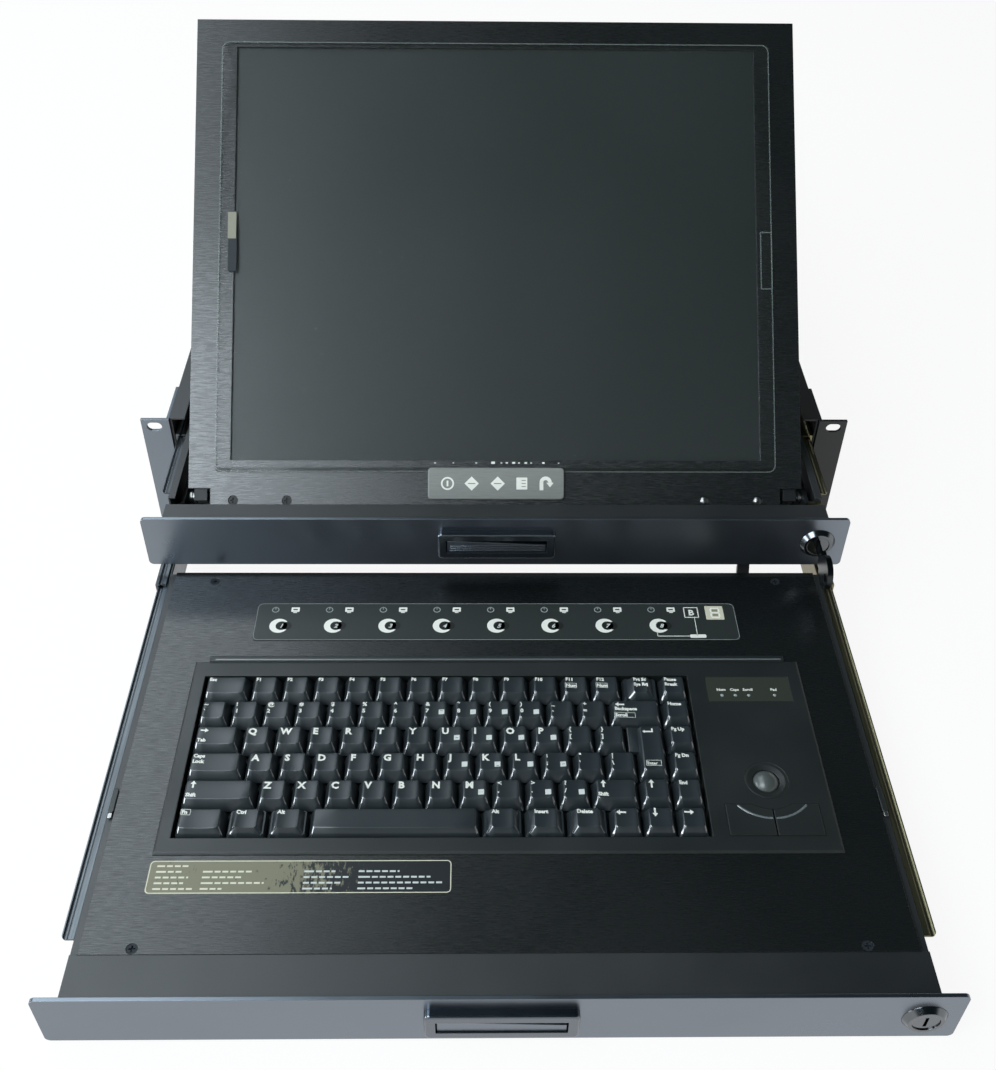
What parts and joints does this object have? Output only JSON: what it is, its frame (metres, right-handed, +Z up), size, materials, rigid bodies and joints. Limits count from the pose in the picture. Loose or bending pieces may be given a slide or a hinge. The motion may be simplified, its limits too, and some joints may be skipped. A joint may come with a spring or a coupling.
{
  "type": "rackmount lcd console drawer",
  "caption": "Rack drawer unit: a tilting LCD on an upper slide-out tray and a keyboard with trackball on a lower full-extension drawer.",
  "frame": {"origin": "middle of the four rack-ear slots, on the ears' back faces", "axes": "+Z up, +Y to the back of the rack, +X to the right seen from the front"},
  "size_m": [0.4826, 1.022, 0.2968],
  "materials": {
    "black_steel": "fine black powder coat",
    "zinc_steel": "yellowish zinc plate",
    "brushed_black": "brushed and anodised black",
    "gloss_black": "gloss black",
    "chrome": "polished nickel",
    "case_plastic": "textured black",
    "key_plastic": "fine textured black",
    "ball": "polished",
    "overlay_film": "satin printed film",
    "smoked": "smoked",
    "screen": "anti-glare screen",
    "clear_sheet": "clear acrylic",
    "pad_grey": "silver-grey film"
  },
  "bodies": {
    "chassis": {"side_frame_right": "black_steel", "side_frame_left": "black_steel", "rack_ear_right": "black_steel", "rack_ear_left": "black_steel", "rear_bracket_right": "black_steel", "rear_bracket_left": "black_steel", "chassis_rivets": "zinc_steel", "base_plate": "black_steel", "rear_panel": "black_steel", "switch_case": "black_steel", "video_ports": "zinc_steel", "power_inlet": "case_plastic", "kb_rail_outer_right": "zinc_steel", "kb_rail_outer_left": "zinc_steel", "lcd_rail_outer_right": "zinc_steel", "lcd_rail_outer_left": "zinc_steel"},
    "kb_mid_rails": {"kb_rail_mid_right": "zinc_steel", "kb_rail_mid_left": "zinc_steel"},
    "lcd_mid_rails": {"lcd_rail_mid_right": "zinc_steel", "lcd_rail_mid_left": "zinc_steel"},
    "keyboard_drawer": {"kb_rail_inner_right": "zinc_steel", "kb_rail_inner_left": "zinc_steel", "kb_front_panel": "black_steel", "kb_handle": "gloss_black", "kb_lock_housing": "chrome", "kb_tray": "black_steel", "kb_top_plate": "brushed_black", "plate_screws": "zinc_steel", "channel_overlay": "overlay_film", "keyboard_housing": "case_plastic", "keyboard_base": "case_plastic", "led_window": "smoked", "trackball_ring": "case_plastic"},
    "kb_lock": {"kb_lock_plug": "chrome", "kb_lock_cam": "zinc_steel"},
    "trackball": {"trackball": "ball"},
    "mouse_button_left": {"mouse_button_left": "key_plastic"},
    "mouse_button_right": {"mouse_button_right": "key_plastic"},
    "upper_keys": {"upper_keys": "key_plastic"},
    "letter_keys": {"letter_keys": "key_plastic"},
    "bottom_keys": {"bottom_keys": "key_plastic"},
    "enter_key": {"enter_key": "key_plastic"},
    "space_bar": {"space_bar": "key_plastic"},
    "screen_drawer": {"lcd_rail_inner_right": "zinc_steel", "lcd_rail_inner_left": "zinc_steel", "lcd_front_panel": "black_steel", "lcd_handle": "gloss_black", "lcd_lock_housing": "chrome", "lcd_tray": "black_steel", "hinge_brackets": "zinc_steel"},
    "lcd_lock": {"lcd_lock_plug": "chrome", "lcd_lock_cam": "zinc_steel", "lock_key": "chrome"},
    "screen_module": {"hinge_leaves": "zinc_steel", "lcd_bezel": "brushed_black", "lcd_rear_cover": "case_plastic", "lcd_display": "screen", "lcd_cover_sheet": "clear_sheet", "osd_pad": "pad_grey", "module_screws": "zinc_steel"}
  },
  "joints": [
    {"name": "kb_slide", "type": "slide", "parent": "chassis", "child": "keyboard_drawer", "axis": [0, 1, 0], "range_m": [0, 0.3832]},
    {"name": "kb_mid_slide", "type": "slide", "parent": "chassis", "child": "kb_mid_rails", "axis": [0, 1, 0], "range_m": [0, 0.13795]},
    {"name": "lcd_slide", "type": "slide", "parent": "chassis", "child": "screen_drawer", "axis": [0, 1, 0], "range_m": [-0.268, 0.0919]},
    {"name": "lcd_mid_slide", "type": "slide", "parent": "chassis", "child": "lcd_mid_rails", "axis": [0, 1, 0], "range_m": [-0.09648, 0.03308]},
    {"name": "screen_tilt", "type": "hinge", "parent": "screen_drawer", "child": "screen_module", "pos_m": [0, -0.0531, 0.0189], "axis": [1, 0, 0], "range_deg": [-44.5, 40]},
    {"name": "kb_lock_turn", "type": "hinge", "parent": "keyboard_drawer", "child": "kb_lock", "pos_m": [0.2055, -0.3875, -0.0249], "axis": [0, 1, 0], "range_deg": [0, 90]},
    {"name": "lcd_lock_turn", "type": "hinge", "parent": "screen_drawer", "child": "lcd_lock", "pos_m": [0.2055, -0.0962, 0.018], "axis": [0, 1, 0], "range_deg": [0, 90]},
    {"name": "ball_roll", "type": "hinge", "parent": "keyboard_drawer", "child": "trackball", "pos_m": [0.1472, -0.2626, -0.01], "axis": [1, 0, 0], "continuous": true},
    {"name": "upper_keys_press", "type": "slide", "parent": "keyboard_drawer", "child": "upper_keys", "axis": [0, 0, -1], "range_m": [0, 0.0022], "stiffness_N_per_m": 900, "springref_m": -0.002},
    {"name": "letter_keys_press", "type": "slide", "parent": "keyboard_drawer", "child": "letter_keys", "axis": [0, 0, -1], "range_m": [0, 0.0022], "stiffness_N_per_m": 900, "springref_m": -0.002},
    {"name": "bottom_keys_press", "type": "slide", "parent": "keyboard_drawer", "child": "bottom_keys", "axis": [0, 0, -1], "range_m": [0, 0.0022], "stiffness_N_per_m": 500, "springref_m": -0.002},
    {"name": "enter_key_press", "type": "slide", "parent": "keyboard_drawer", "child": "enter_key", "axis": [0, 0, -1], "range_m": [0, 0.0022], "stiffness_N_per_m": 250, "springref_m": -0.002},
    {"name": "space_bar_press", "type": "slide", "parent": "keyboard_drawer", "child": "space_bar", "axis": [0, 0, -1], "range_m": [0, 0.0022], "stiffness_N_per_m": 300, "springref_m": -0.002},
    {"name": "mouse_button_left_press", "type": "slide", "parent": "keyboard_drawer", "child": "mouse_button_left", "axis": [0, 0, -1], "range_m": [0, 0.001], "stiffness_N_per_m": 300, "springref_m": -0.002},
    {"name": "mouse_button_right_press", "type": "slide", "parent": "keyboard_drawer", "child": "mouse_button_right", "axis": [0, 0, -1], "range_m": [0, 0.001], "stiffness_N_per_m": 300, "springref_m": -0.002}
  ],
  "couplings": [
    {"joint": "kb_mid_slide", "follows": "kb_slide", "ratio": 0.36},
    {"joint": "lcd_mid_slide", "follows": "lcd_slide", "ratio": 0.36}
  ]
}
